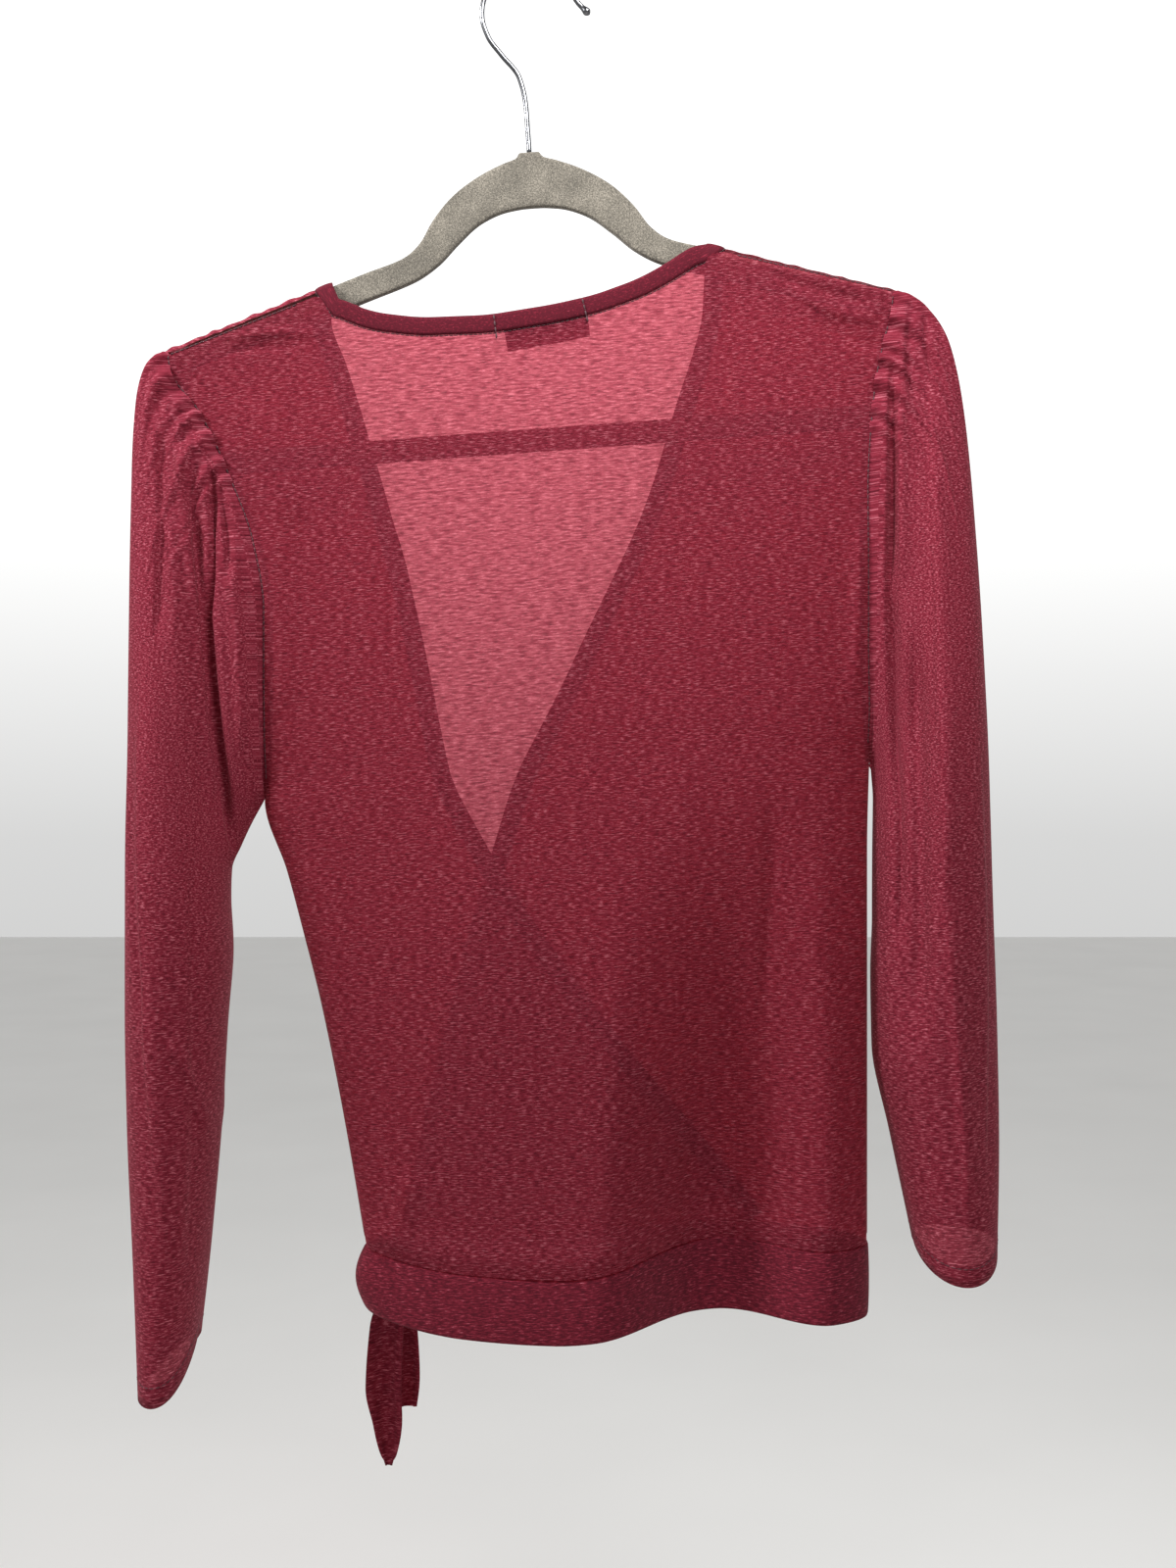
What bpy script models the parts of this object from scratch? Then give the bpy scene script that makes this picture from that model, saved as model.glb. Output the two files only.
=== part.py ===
import bisect
import math

import bmesh
import bpy
from mathutils import Vector

# Sizes are in millimetres and become metres where a mesh is made.
# The origin is the inside top of the hook. The back of the garment faces -Y,
# +X is the wearer's right, and the wearer would face +Y.
MM = 0.001

# Hanger
WIRE = 2.8
HOOK_RADIUS = 25.3
BOSS_TOP = -98.9
TILT = math.radians(4.2)
HANGER_THICK = 5.5
HANGER_HALF = 204.0
ARM_SLOPE = math.radians(17.8)
ARM_THICK = 14.7
END_RADIUS = 24.0
BAR_DOWN = 154.0
BAR_TALL = 12.0
SEAT_GAP = 1.0

# Garment
WALL = 1.0
BAND_WALL = 1.6
SEAM_GAP = 0.6
SHOULDER_GAP = 1.0
ARMHOLE_GAP = 0.9
BINDING_GAP = 0.7
RIDGE_RADIUS = 5.6
NECK_LEFT = -113.0
NECK_RIGHT = 104.0
TIP_LEFT = -196.0
TIP_RIGHT = 198.0
UNDERARM = 0.5
BAND_DEEP = 35.0
BINDING_WIDE = 8.5
WRAP_LIFT = 2.4
SHOULDER_GATHERS = 8
HEAD_GATHERS = 7
UNDER_COLUMNS = 9
BAND_BULGE = 7.0
HANGER_BEVEL = 1.2
LABEL_LEFT = -19.0
LABEL_RIGHT = 29.0
LABEL_ABOVE = 6.0
LABEL_BELOW = 12.0
GATHER_HIGH = 1.4

# The garment's left and right edge: the armhole seam, then the side seam.
LEFT_EDGE = (  # z, x
    (-190, -196), (-216, -194), (-241, -177), (-272, -162), (-309, -148),
    (-346, -142), (-395, -142), (-446, -141), (-484, -125), (-510, -117),
    (-558, -106), (-624, -95), (-695, -86))
RIGHT_EDGE = (  # z, x
    (-160, 198), (-184, 196), (-204, 191), (-229, 186), (-281, 182),
    (-359, 182), (-403, 183), (-474, 181.5), (-695, 181.5))

# Half depths of the body, by the fraction of the way from shoulder to waist.
BODY = (  # down, back, front, armhole half opening
    (0.00, 5.6, 5.6, 5.6), (0.05, 7, 7, 6.4), (0.10, 9, 10, 8.0), (0.20, 15, 16, 11.5),
    (0.35, 22, 26, 12.5), (0.44, 26, 31, 10.0), (0.48, 28, 33, 5.0),
    (0.50, 28.5, 33.5, 0.5), (0.70, 36, 40, 0.5), (1.00, 45, 44, 0.5))

# The back panel's upper edge, as the way down from the shoulder ridge.
BACK_TOP = (  # x, way down
    (-196, 7), (-113, 7), (-104, 19), (-91, 25), (-66, 30), (-27, 32.5),
    (11, 31), (36, 29), (62, 23.5), (81, 17.5), (104, 4), (198, 4))

# Where each panel has a row of points: close at the shoulder ridge and the underarm.
ROWS = (0, 0.006, 0.012, 0.018, 0.025, 0.035, 0.05, 0.07, 0.1, 0.14, 0.2, 0.27, 0.34, 0.41,
        0.46, 0.485, UNDERARM, 0.56, 0.62, 0.68, 0.74, 0.8, 0.86, 0.91, 0.96, 1)

# The waist seam's height along x.
WAIST = ((-95, -682), (-30, -690), (15, -691), (75, -684), (130, -681), (185, -682))  # x, z

# Each wrap edge, as the fraction of the width, by the way down.
WRAP_LEFT = ((0.0, 0.211), (0.21, 0.19), (0.41, 0.268), (0.58, 0.316), (0.8, 0.53), (1.0, 0.78))
WRAP_RIGHT = ((0.0, 0.761), (0.21, 0.66), (0.42, 0.506), (0.51, 0.42), (0.6, 0.338),
              (0.8, 0.21), (1.0, 0.09))

# Large folds of the back: + goes away from the viewer.
BACK_FOLDS = (  # x at the waist, x at the top, start, half width, depth
    (98, 122, 0.52, 64, 48),)

# Sections of each sleeve, from the armhole to the cuff. "out" and "in" are the far and
# the near edge as seen from behind; drop lowers the side that faces the viewer.
LEFT_SLEEVE = (  # along, out x, out z, in x, in z, half depth, drop
    (0.00, -196, -206, -141, -446, 10, 0), (0.05, -204, -214, -143, -450, 13, 0),
    (0.12, -209, -232, -148, -459, 18, 0), (0.22, -212, -268, -154, -471, 25, 0),
    (0.34, -213, -330, -160, -484, 34, 0), (0.46, -213, -405, -161, -503, 42, 0),
    (0.58, -214, -480, -160, -528, 46, 0), (0.70, -214, -556, -163, -568, 45, 0),
    (0.80, -213, -618, -166, -620, 43, 0), (0.90, -210, -686, -171, -675, 41, 0),
    (1.00, -207, -766, -178, -735, 38, 0))
RIGHT_SLEEVE = (  # along, out x, out z, in x, in z, half depth, drop
    (0.00, 198, -173, 183, -427, 10, 0), (0.05, 211, -181, 185, -431, 13, 0),
    (0.12, 224, -200, 185, -437, 18, 0), (0.22, 233, -240, 185, -446, 25, 0),
    (0.34, 239, -305, 185, -460, 33, 0), (0.46, 243, -372, 185, -482, 40, 0),
    (0.58, 246, -440, 185, -510, 43, 0), (0.70, 248, -505, 184, -541, 43, 0),
    (0.80, 250, -565, 184.5, -578, 41, 1), (0.90, 251, -625, 194, -625, 37, 4),
    (1.00, 250, -682, 206, -682, 33, 8))
ARMHOLE_REACH = 0.34
HEAD_REACH = 0.15

# One long fold down the near side of each sleeve.
SLEEVE_FOLDS = (  # x, z, x, z, half width, depth away from the viewer
    (-181, -262, -162, -480, 12, 9), (201, -350, 199, -590, 12, 6))

# The tie's free ends, from the knot to the tip.
KNOT_AT = (-75.0, 33.2, -702.0)
KNOT_RADIUS = 14.0
KNOT_FLAT = 0.7
LONG_TAIL = (  # down, x, z, half width, y, groove
    (0.0, -76, -718.5, 6, 32.5, 1.5), (0.2, -80, -738, 8.5, 29, 5), (0.5, -81.5, -771, 9, 26, 6),
    (0.75, -79, -792, 7, 25, 5), (0.92, -78.5, -807, 4, 25, 2), (1.0, -78.3, -813, 1.5, 25, 0))
SHORT_TAIL = (  # down, x, z, half width, y, groove
    (0.0, -73, -718.3, 5, 36.8, 1), (0.3, -71, -740, 6, 40, 3), (0.7, -69, -771, 5.5, 40, 3),
    (1.0, -69, -786, 4.5, 39, 1))


def smooth(table, at, column=1):
    # A curve through one column of a table that never overshoots its values.
    rows = sorted((row[0], row[column]) for row in table)
    keys, values = zip(*rows)
    at = min(max(at, keys[0]), keys[-1])
    i = min(max(bisect.bisect_left(keys, at) - 1, 0), len(keys) - 2)
    rise = [(values[j + 1] - values[j]) / (keys[j + 1] - keys[j]) for j in range(len(keys) - 1)]

    def slope(j):
        if j == 0 or j == len(keys) - 1:
            return rise[min(j, len(rise) - 1)]
        product = rise[j - 1] * rise[j]
        return 0.0 if product <= 0 else 2 * product / (rise[j - 1] + rise[j])

    step = keys[i + 1] - keys[i]
    f = (at - keys[i]) / step
    return ((1 + 2 * f) * (1 - f) ** 2 * values[i] + f * (1 - f) ** 2 * step * slope(i)
            + f * f * (3 - 2 * f) * values[i + 1] + f * f * (f - 1) * step * slope(i + 1))


def mix(a, b, f):
    return a + (b - a) * f


def ease(f):
    f = min(max(f, 0.0), 1.0)
    return f * f * (3 - 2 * f)


def on_hanger(x, z):
    # From the hanger's own upright frame to the tilted one.
    return (x * math.cos(TILT) - z * math.sin(TILT),
            BOSS_TOP + x * math.sin(TILT) + z * math.cos(TILT))


def arm_top(x):
    # Height of the arm's upper edge at a distance from the hanger's middle line.
    return -65.3 - (abs(x) - 114.0) * math.tan(ARM_SLOPE)


def ridge(x):
    # Height of the cloth over the hanger's arms, straight between the neck points.
    lift = SEAT_GAP + WALL
    inner_l, inner_r = on_hanger(-112.0, arm_top(112) + lift), on_hanger(88.0, arm_top(88) + lift)
    outer_l, outer_r = on_hanger(-200.0, arm_top(200) + lift), on_hanger(195.0, arm_top(195) + lift)
    points = (outer_l, inner_l, inner_r, outer_r)
    if x < inner_l[0]:
        low, high = points[0], points[1]
    elif x < inner_r[0]:
        low, high = points[1], points[2]
    else:
        low, high = points[2], points[3]
    return mix(low[1], high[1], (x - low[0]) / (high[0] - low[0]))


def fall(way):
    # Drop below the ridge, and how far round the ridge the cloth has turned.
    bend = RIDGE_RADIUS * math.pi / 2
    turn = min(max(way / RIDGE_RADIUS, -math.pi / 2), math.pi / 2)
    return RIDGE_RADIUS * (1 - math.cos(turn)) + max(abs(way) - bend, 0), turn


def full_way(part):
    # Length of the cloth's path from the ridge to the waist seam, at a fraction across.
    top = mix(TIP_LEFT, TIP_RIGHT, part)
    low = mix(LEFT_EDGE[-1][1], RIGHT_EDGE[-1][1], part)
    return ridge(top) - smooth(WAIST, low) + (math.pi / 2 - 1) * RIDGE_RADIUS


def body(face, part, way, lift=0.0, wants_out=False):
    # A point of the body's outer surface. face is -1 for the back and 1 for the front,
    # part the fraction of the width, and way the path down from the ridge.
    down = way / full_way(part)
    left_z = ridge(TIP_LEFT) - fall(down * full_way(0.0))[0]
    right_z = ridge(TIP_RIGHT) - fall(down * full_way(1.0))[0]
    left, right = smooth(LEFT_EDGE, left_z), smooth(RIGHT_EDGE, right_z)
    drop, turn = fall(way)
    s = 2 * part - 1
    deep = smooth(BODY, abs(down), 1 if face < 0 else 2)
    edge = min(smooth(BODY, abs(down), 3), deep)
    lens = math.sqrt(max(1 - s * s * (1 - (edge / deep) ** 2), 0.0))
    point = Vector((mix(left, right, part), face * deep * lens * math.sin(turn),
                    ridge(mix(TIP_LEFT, TIP_RIGHT, part)) - drop))
    if face < 0 and down > 0:
        point.y += back_fold(point.x, down) * min(lens * 1.6, 1.0)
    if abs(turn) < 1.5:
        top = mix(TIP_LEFT, TIP_RIGHT, part)
        slope = (ridge(top + 1) - ridge(top - 1)) / 2
        out = Vector((-slope * math.cos(turn), face * math.sin(turn), math.cos(turn))).normalized()
    else:
        out = Vector((s * deep, face * lens * (right - left) / 2, 0)).normalized()
    return (point, out) if wants_out else point + out * lift


def back_fold(x, down):
    total = 0.0
    for low_x, top_x, start, half, depth in BACK_FOLDS:
        grow = ease((down - start) / (1 - start))
        off = abs(x - mix(top_x, low_x, down)) / half
        total += depth * grow * (0.5 + 0.5 * math.cos(math.pi * min(off, 1.0)))
    return total


def paint(name, color, roughness, metallic=0.0):
    material = bpy.data.materials.new(name)
    material.use_nodes = True
    shader = material.node_tree.nodes["Principled BSDF"]
    shader.inputs["Base Color"].default_value = (*color, 1)
    shader.inputs["Roughness"].default_value = roughness
    shader.inputs["Metallic"].default_value = metallic
    return material


def add_object(name, bm, material):
    mesh = bpy.data.meshes.new(name)
    bm.to_mesh(mesh)
    bm.free()
    made = bpy.data.objects.new(name, mesh)
    made.data.materials.append(material)
    bpy.context.collection.objects.link(made)
    return made


def sheet(name, columns, rows, place, material, wall=WALL, turned=False, ring=False):
    # A cloth wall on a grid whose points place() gives, thickened to the inside.
    bm = bmesh.new()
    wide, tall = len(columns) - 1, len(rows) - 1
    bmesh.ops.create_grid(bm, x_segments=wide, y_segments=tall, size=0.5)
    for vert in bm.verts:
        column = columns[round((vert.co.x + 0.5) * wide)]
        row = rows[round((vert.co.y + 0.5) * tall)]
        vert.co = Vector(place(column, row)) * MM
    if ring:
        bmesh.ops.remove_doubles(bm, verts=bm.verts, dist=0.01 * MM)
    if turned:
        bmesh.ops.reverse_faces(bm, faces=bm.faces)
    made = add_object(name, bm, material)
    solid = made.modifiers.new("Wall", "SOLIDIFY")
    solid.thickness = wall * MM
    solid.offset = -1
    return made


def back_columns():
    # Close columns at the side seams and at the neck points.
    cuts = [0.5 + 0.5 * math.sin(math.pi * (i / 22 - 0.5)) for i in range(23)]
    neck = [(x - TIP_LEFT) / (TIP_RIGHT - TIP_LEFT)
            for x in (NECK_LEFT, NECK_LEFT + 9, NECK_RIGHT - 12, NECK_RIGHT)]
    return sorted([cut for cut in cuts if min(abs(cut - n) for n in neck) > 0.01] + neck)


def back_panel(cloth):
    columns = back_columns()

    def place(part, row):
        top = back_top(mix(TIP_LEFT, TIP_RIGHT, part))
        return body(-1, part, mix(top, full_way(part), row))

    sheet("back", columns, ROWS, place, cloth, turned=True)


def back_top(x):
    # The back's upper edge runs straight from point to point of its table.
    for (left, start), (right, end) in zip(BACK_TOP, BACK_TOP[1:]):
        if x <= right:
            break
    return mix(start, end, (x - left) / (right - left))


def gathered(across, way, start):
    # Height of the shoulder gathers, fading down the front.
    fade = (1 - ease((way - start) / 70)) * (0.35 + 0.65 * ease((way - start) / 8))
    return GATHER_HIGH * fade * (0.5 - 0.5 * math.cos(2 * math.pi * SHOULDER_GATHERS * across))


def front_left_spot(q, row):
    start = -(BACK_TOP[0][1] - SHOULDER_GAP)
    part = wrap_part(WRAP_LEFT, 0.0, q, row)
    way = mix(start, full_way(part), row)
    return 1, part, way, gathered(q, way, start)


def front_right_spot(q, row):
    start = -BACK_TOP[-1][1] + SHOULDER_GAP
    part = wrap_part(WRAP_RIGHT, 1.0, q, row)
    way = mix(start, full_way(part), row)
    lift = WRAP_LIFT * ease(row / 0.2) * ease((1 - part) / 0.16)
    return 1, part, way, lift + gathered(q, way, start)


def wrap_part(table, own_edge, q, row):
    # Even columns at the gathers, closer ones at both edges further down.
    close = mix(q, 0.5 - 0.5 * math.cos(math.pi * q), ease(row / 0.45))
    return mix(own_edge, smooth(table, row), close)


def front_panels(cloth):
    columns = [i / 24 for i in range(25)]
    sheet("front_left", columns, ROWS, lambda q, row: body(*front_left_spot(q, row)), cloth)
    sheet("front_right", columns, ROWS, lambda q, row: body(*front_right_spot(q, row)), cloth,
          turned=True)


def armhole(hand, face, part):
    # The armhole seam from the shoulder ridge (0) to the underarm (1), just clear of the body.
    across = 0.0 if hand < 0 else 1.0
    point = body(face, across, part * UNDERARM * full_way(across))
    return point + Vector((hand * ARMHOLE_GAP, 0, 0))


def sleeve_point(table, hand, around, along):
    # around runs from -0.5 (underarm) through 0 (outer edge) to 0.5, the back being negative.
    face = -1 if around < 0 else 1
    part = (1 - math.cos(2 * math.pi * abs(around))) / 2
    swing = math.sin(2 * math.pi * abs(around))

    def free(at):
        out_x, out_z, in_x, in_z, half, drop = (smooth(table, at, i) for i in range(1, 7))
        return Vector((mix(out_x, in_x, part), face * half * swing,
                       mix(out_z, in_z, part) - (drop * swing if face < 0 else 0)))

    seam = armhole(hand, face, part)
    hold = 1 - ease(along / ARMHOLE_REACH)
    point = free(along) + (seam - free(0.0)) * hold
    if face < 0:
        point.y += sleeve_fold(point.x, point.z) * ease(along / 0.1)
    reach = abs(around) / HEAD_REACH
    if reach < 1:
        fade = (1 - ease(along / 0.3)) * ease((1 - reach) * 4) * ease(reach * 4)
        wave = 0.5 - 0.5 * math.cos(2 * math.pi * HEAD_GATHERS * reach)
        point += Vector((hand * 0.6, face * 0.8, 0)) * (GATHER_HIGH * fade * wave)
    return point


def sleeve_fold(x, z):
    total = 0.0
    for x0, z0, x1, z1, half, depth in SLEEVE_FOLDS:
        down = (z - z0) / (z1 - z0)
        off = abs(x - mix(x0, x1, down)) / half
        ends = ease(down * 4) * ease((1 - down) * 4)
        total += depth * ends * (0.5 + 0.5 * math.cos(math.pi * min(off, 1.0)))
    return total


def sleeves(cloth):
    # Three columns to a gather, none too close to the tight outer edge.
    head = [0.0] + [HEAD_REACH * i / (3 * HEAD_GATHERS) for i in range(2, 3 * HEAD_GATHERS + 1)]
    under = [mix(HEAD_REACH, 0.5, i / UNDER_COLUMNS) for i in range(1, UNDER_COLUMNS + 1)]
    half = head + under
    around = [-a for a in reversed(half)] + half[1:]
    along = [(i / 12) ** 1.35 for i in range(13)]
    for name, table, hand in (("sleeve_left", LEFT_SLEEVE, -1), ("sleeve_right", RIGHT_SLEEVE, 1)):
        sheet(name, around, along, lambda a, v: sleeve_point(table, hand, a, v), cloth,
              turned=hand < 0, ring=True)


def band_point(around, row):
    # around 0 to 1 is the back from left to right, 1 to 2 the front from right to left.
    face = -1 if around < 1 else 1
    q = around if face < 0 else 2 - around
    part = 0.5 + 0.5 * math.sin(math.pi * (q - 0.5))
    point = body(face, part, full_way(part))
    if part in (0.0, 1.0):
        point.y = 0
    bulge = BAND_BULGE * math.sin(math.pi * row) * ease(1 - part / 0.12)
    return point + Vector((-bulge, 0, -SEAM_GAP - BAND_DEEP * row))


def waistband(cloth):
    around = [i / 22 for i in range(45)]
    rows = [i / 4 for i in range(5)]
    sheet("waistband", around, rows, band_point, cloth, wall=BAND_WALL, turned=True, ring=True)


def binding_stretch(spots):
    # Stops along a seam, each with its point and the direction towards the binding's free edge.
    stops = []
    for face, part, way, lift in spots:
        point, out = body(face, part, way, wants_out=True)
        stops.append((point + out * (lift + BAND_WALL - WALL), out))
    points = [point for point, out in stops]
    ahead = [points[min(i + 1, len(points) - 1)] - points[max(i - 1, 0)] for i in range(len(points))]
    return [(point, out.cross(way).normalized()) for (point, out), way in zip(stops, ahead)]


def neck_binding(cloth):
    # Up the inner wrap edge, over the left shoulder, round the back neck, over the right
    # shoulder and down the outer wrap edge.
    neck = [part for part in back_columns() if NECK_LEFT < mix(TIP_LEFT, TIP_RIGHT, part) < NECK_RIGHT]
    route = (binding_stretch([front_left_spot(1.0, row) for row in reversed(ROWS)])
             + binding_stretch([(-1, part, back_top(mix(TIP_LEFT, TIP_RIGHT, part)), 0) for part in neck])
             + binding_stretch([front_right_spot(1.0, row) for row in ROWS]))

    def place(at, across):
        point, side = route[at]
        return point + side * mix(BINDING_GAP, BINDING_WIDE, across)

    sheet("neck_binding", list(range(len(route))), [0.0, 0.5, 1.0], place, cloth, wall=BAND_WALL)


def neck_label(label):
    columns = [mix(LABEL_LEFT, LABEL_RIGHT, i / 6) for i in range(7)]
    rows = [mix(-LABEL_ABOVE, LABEL_BELOW, i / 3) for i in range(4)]

    def place(x, below):
        part = (x - TIP_LEFT) / (TIP_RIGHT - TIP_LEFT)
        return body(-1, part, back_top(x) + below) + Vector((0, WALL + SEAM_GAP, 0))

    sheet("neck_label", columns, rows, place, label, turned=True)


def cleared():
    for old in list(bpy.data.objects):
        bpy.data.objects.remove(old, do_unlink=True)


def tube(name, path, radii, sides, material, flat=1.0, width_axis=None):
    # A closed bar along a path, with a round or flattened section and capped ends.
    bm = bmesh.new()
    ring_before = None
    for at, (point, radius) in enumerate(zip(path, radii)):
        before, after = path[max(at - 1, 0)], path[min(at + 1, len(path) - 1)]
        ahead = (Vector(after) - Vector(before)).normalized()
        wide = (Vector(width_axis) if width_axis else Vector((0, 1, 0)))
        wide = (wide - ahead * wide.dot(ahead)).normalized()
        thin = ahead.cross(wide)
        ring = bmesh.ops.create_circle(bm, segments=sides, radius=1.0)["verts"]
        for vert in ring:
            vert.co = (Vector(point) + wide * vert.co.x * radius
                       + thin * vert.co.y * radius * flat) * MM
        edges = [e for e in bm.edges if e.verts[0] in ring and e.verts[1] in ring]
        if ring_before is None:
            bmesh.ops.contextual_create(bm, geom=edges)
        else:
            bmesh.ops.bridge_loops(bm, edges=ring_before + edges)
        ring_before = edges
    bmesh.ops.contextual_create(bm, geom=ring_before)
    bmesh.ops.recalc_face_normals(bm, faces=bm.faces)
    return add_object(name, bm, material)


def hanger_hook(chrome):
    centre = -(HOOK_RADIUS - WIRE / 2)
    path = [(0, 0, BOSS_TOP + 0.3), (-0.8, 0, -86), (-1.8, 0, -73), (-5.5, 0, -58),
            (-15.0, 0, -46), (-22.0, 0, -36.5)]
    for i in range(15):
        turn = math.radians(mix(186, 25, i / 14))
        path.append((HOOK_RADIUS * math.cos(turn), 0, centre + HOOK_RADIUS * math.sin(turn)))
    path += [(26.5, 0, -18.5), (31.5, 0, -23.5), (32.6, 0, -24.6)]
    radii = [WIRE / 2] * (len(path) - 2) + [2.1, 1.2]
    tube("hanger_hook", path, radii, 8, chrome)


def hanger_outline():
    # Half of the outer edge, from the boss to the bar's underside, then half of the inner edge.
    outer = [(0, 0), (5, 0), (7, -2.6), (14, -5), (26, -10), (42, -20), (54, -32.6),
             (62, -44.5), (71, -51.6), (92, arm_top(92))]
    corner = HANGER_HALF - END_RADIUS
    bend = [math.radians(mix(90 - 17.8, -90, i / 10)) for i in range(11)]
    shoulder = arm_top(corner) - END_RADIUS / math.cos(ARM_SLOPE)
    bar_low = -BAR_DOWN - BAR_TALL / 2
    for turn in bend[:5]:
        outer.append((corner + END_RADIUS * math.cos(turn), shoulder + END_RADIUS * math.sin(turn)))
    for turn in bend[5:]:
        outer.append((corner + END_RADIUS * math.cos(turn), bar_low + END_RADIUS + END_RADIUS * math.sin(turn)))
    outer.append((0, bar_low))
    inner = [(0, -29.4), (8, -29.8), (16, -31), (28.5, -36), (41.5, -46.3), (52, -56), (64, -63.5),
             (75, -67.6), (87, arm_top(87) - ARM_THICK), (100, arm_top(100) - ARM_THICK)]
    inside = END_RADIUS - BAR_TALL
    for turn in bend[:5]:
        inner.append((corner + inside * math.cos(turn), shoulder + inside * math.sin(turn)))
    for turn in bend[5:]:
        inner.append((corner + inside * math.cos(turn), bar_low + END_RADIUS + inside * math.sin(turn)))
    inner.append((0, bar_low + BAR_TALL))
    return outer, inner


def hanger_body(velvet):
    # Strip between the outer and the inner edge, mirrored, and thickened both ways.
    outer, inner = hanger_outline()
    loop = [(x, z) for x, z in outer] + [(-x, z) for x, z in reversed(outer[1:-1])]
    hole = [(x, z) for x, z in inner] + [(-x, z) for x, z in reversed(inner[1:-1])]
    bm = bmesh.new()
    bmesh.ops.create_grid(bm, x_segments=len(loop), y_segments=1, size=0.5)
    for vert in bm.verts:
        at = round((vert.co.x + 0.5) * len(loop)) % len(loop)
        x, z = on_hanger(*(loop[at] if vert.co.y < 0 else hole[at]))
        vert.co = Vector((x, 0, z)) * MM
    bmesh.ops.remove_doubles(bm, verts=bm.verts, dist=0.01 * MM)
    made = add_object("hanger_body", bm, velvet)
    solid = made.modifiers.new("Thickness", "SOLIDIFY")
    solid.thickness = HANGER_THICK * MM
    solid.offset = 0
    soft = made.modifiers.new("Soft edges", "BEVEL")
    soft.width = HANGER_BEVEL * MM
    soft.segments = 2
    soft.angle_limit = math.radians(60)


def tie(cloth):
    # The knot sits on the band's front at the wearer's left hip.
    x, y, z = KNOT_AT
    knot = [(x + 2 * math.sin(t), y, z + 16 * math.sin(t)) for t in (-1.35, -0.75, 0, 0.75, 1.35)]
    radii = [0.4 * KNOT_RADIUS, 0.85 * KNOT_RADIUS, KNOT_RADIUS, 0.85 * KNOT_RADIUS, 0.4 * KNOT_RADIUS]
    tube("tie_knot", knot, radii, 14, cloth, flat=KNOT_FLAT, width_axis=(1, 0, 0))
    for name, table in (("tie_tail_long", LONG_TAIL), ("tie_tail_short", SHORT_TAIL)):
        tie_tail(name, table, cloth)


def tie_tail(name, table, cloth):
    # A folded ribbon hanging straight down, its middle set back in a soft groove.
    columns = [-1.0, -0.5, 0.0, 0.5, 1.0]
    rows = [i / 12 for i in range(13)]

    def place(across, down):
        x, z, half, y, groove = (smooth(table, down, i) for i in range(1, 6))
        return (x + half * across, y + groove * (1 - across * across), z)

    sheet(name, columns, rows, place, cloth, wall=BAND_WALL, turned=True)


def main():
    cleared()
    cloth = paint("heathered_knit", (0.20, 0.022, 0.035), 0.9)
    label = paint("woven_label", (0.16, 0.03, 0.045), 0.8)
    velvet = paint("grey_velvet", (0.33, 0.29, 0.26), 0.95)
    chrome = paint("chrome_wire", (0.75, 0.75, 0.77), 0.2, 1.0)
    back_panel(cloth)
    front_panels(cloth)
    sleeves(cloth)
    neck_binding(cloth)
    neck_label(label)
    waistband(cloth)
    tie(cloth)
    hanger_body(velvet)
    hanger_hook(chrome)


main()
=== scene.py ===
import math

import bmesh
import bpy
import numpy as np
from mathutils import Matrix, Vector


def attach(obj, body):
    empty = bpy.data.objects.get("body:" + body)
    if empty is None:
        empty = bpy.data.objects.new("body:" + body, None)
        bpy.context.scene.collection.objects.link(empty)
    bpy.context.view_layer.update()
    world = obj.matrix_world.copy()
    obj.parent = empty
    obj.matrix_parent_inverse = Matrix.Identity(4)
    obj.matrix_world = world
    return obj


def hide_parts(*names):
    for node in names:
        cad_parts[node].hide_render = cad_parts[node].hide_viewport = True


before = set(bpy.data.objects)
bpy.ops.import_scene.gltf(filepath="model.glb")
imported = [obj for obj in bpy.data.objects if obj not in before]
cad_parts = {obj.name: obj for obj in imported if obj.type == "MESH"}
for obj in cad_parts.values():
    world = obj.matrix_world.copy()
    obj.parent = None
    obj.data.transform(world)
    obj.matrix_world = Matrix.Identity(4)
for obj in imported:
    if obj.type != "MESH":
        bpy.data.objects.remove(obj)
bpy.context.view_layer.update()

mm = 0.001  # every table here is in millimetres

# The photograph looks along +Y at the back of the garment. The origin is the inside
# top of the hook, and +X is the wearer's right.


# Camera, light and floor.

view = {"distance": 900, "across": 31.6, "height": -437.4, "lens": 38.5}


def setCamera():
    data = bpy.data.cameras.new("camera")
    data.sensor_width = 36
    data.lens = view["lens"]
    data.clip_end = 50
    camera = bpy.data.objects.new("camera", data)
    camera.location = (view["across"] * mm, -view["distance"] * mm, view["height"] * mm)
    camera.rotation_euler = (math.pi / 2, 0, 0)
    bpy.context.collection.objects.link(camera)
    bpy.context.scene.camera = camera


studio = {
    "floorHeight": -1.25, "floorSize": 16.0, "floorColor": "#f7f6f4",
    # how bright the surroundings are: sine of the height angle, share of full strength
    "surround": ((-1.0, 0.40), (-0.16, 0.46), (-0.03, 0.52), (0.06, 0.65), (0.13, 0.77),
                 (0.28, 1.0), (0.45, 1.0), (0.6, 0.36), (1.0, 0.3)),
    "surroundStrength": 1.32,
    "leftShare": 0.8, "rightShare": 0.05,  # the room behind the camera, bright on its left
    # name: place, aim, size, watts
    "lights": {
        "ceilingSoftbox": ((0.2, -0.45, 0.25), (0.05, 0.0, -0.35), 0.3, 9),
        "sideSoftbox": ((-0.85, -0.4, 0.35), (0.0, 0.0, -0.3), 0.2, 19),
    },
}


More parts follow.
